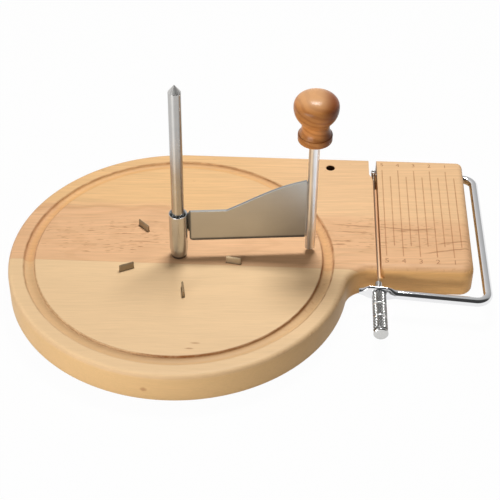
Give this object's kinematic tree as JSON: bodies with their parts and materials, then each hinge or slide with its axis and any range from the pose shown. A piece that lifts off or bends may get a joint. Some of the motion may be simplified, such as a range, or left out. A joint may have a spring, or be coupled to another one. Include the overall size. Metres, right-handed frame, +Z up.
{
  "type": "cheese curler and wire slicer board",
  "caption": "Round cheese board with juice groove, upright spindle and turning scraper blade with wooden knob, beside a ruled block with a hinged wire bow for slicing.",
  "frame": {"origin": "centre of the outer box, at the underside of the feet", "axes": "+X from the round board to the slicing block, +Y to the back edge where the bow is hinged, +Z up along the spindle"},
  "size_m": [0.2832, 0.2, 0.1415],
  "materials": {
    "board_wood": "edge-glued staves, oiled, satin",
    "knob_wood": "turned and varnished, glossy",
    "spike_steel": "cut stainless plate",
    "spindle_steel": "polished stainless, faceted point",
    "fastener_steel": "zinc plated",
    "sleeve_steel": "satin stainless with a bright rim",
    "blade_steel": "brushed stainless plate",
    "bracket_steel": "brushed stainless strip",
    "rod_steel": "polished stainless",
    "bush_steel": "turned steel",
    "bow_chrome": "chrome plated",
    "wire_steel": "drawn stainless",
    "screw_steel": "threaded steel",
    "handle_chrome": "chrome plated, diamond knurled",
    "foot_rubber": "matt anti-slip pad"
  },
  "bodies": {
    "board": {"cutting_board": "board_wood", "cheese_spike_1": "spike_steel", "cheese_spike_2": "spike_steel", "cheese_spike_3": "spike_steel", "cheese_spike_4": "spike_steel", "cheese_spike_5": "spike_steel", "spindle_washer": "fastener_steel", "spindle_nut": "fastener_steel", "foot_1": "foot_rubber", "foot_2": "foot_rubber", "foot_3": "foot_rubber", "foot_4": "foot_rubber", "foot_5": "foot_rubber"},
    "spindle": {"spindle": "spindle_steel"},
    "scraper": {"scraper_sleeve": "sleeve_steel", "scraper_blade": "blade_steel", "blade_bracket": "bracket_steel", "handle_rod": "rod_steel"},
    "knob": {"knob": "knob_wood", "knob_bush": "bush_steel"},
    "bow": {"wire_bow": "bow_chrome"},
    "handle": {"tension_handle": "handle_chrome"},
    "wire_set": {"cutting_wire": "wire_steel", "wire_eyelet": "wire_steel", "wire_ferrule": "wire_steel", "tension_screw": "screw_steel"}
  },
  "joints": [
    {"name": "scraper_turn", "type": "hinge", "parent": "board", "child": "spindle", "pos_m": [-0.04158, 0, 0.0223], "axis": [0, 0, 1], "continuous": true},
    {"name": "scraper_slide", "type": "slide", "parent": "spindle", "child": "scraper", "axis": [0, 0, 1], "range_m": [0, 0.118]},
    {"name": "knob_turn", "type": "hinge", "parent": "scraper", "child": "knob", "pos_m": [0.03507, 0.00738, 0.1029], "axis": [0, 0, 1], "continuous": true},
    {"name": "bow_hinge", "type": "hinge", "parent": "board", "child": "bow", "pos_m": [0.07573, 0.0905, 0.0153], "axis": [-1, 0, 0], "range_deg": [0, 180]},
    {"name": "handle_turn", "type": "hinge", "parent": "bow", "child": "handle", "pos_m": [0.07573, -0.0216, 0.0153], "axis": [0, -1, 0], "range_deg": [0, 1080]},
    {"name": "wire_slack", "type": "slide", "parent": "bow", "child": "wire_set", "axis": [0, 1, 0], "range_m": [0, 0.0022]}
  ],
  "couplings": [
    {"joint": "wire_slack", "follows": "handle_turn", "m_per_rad": 0.00011141}
  ]
}
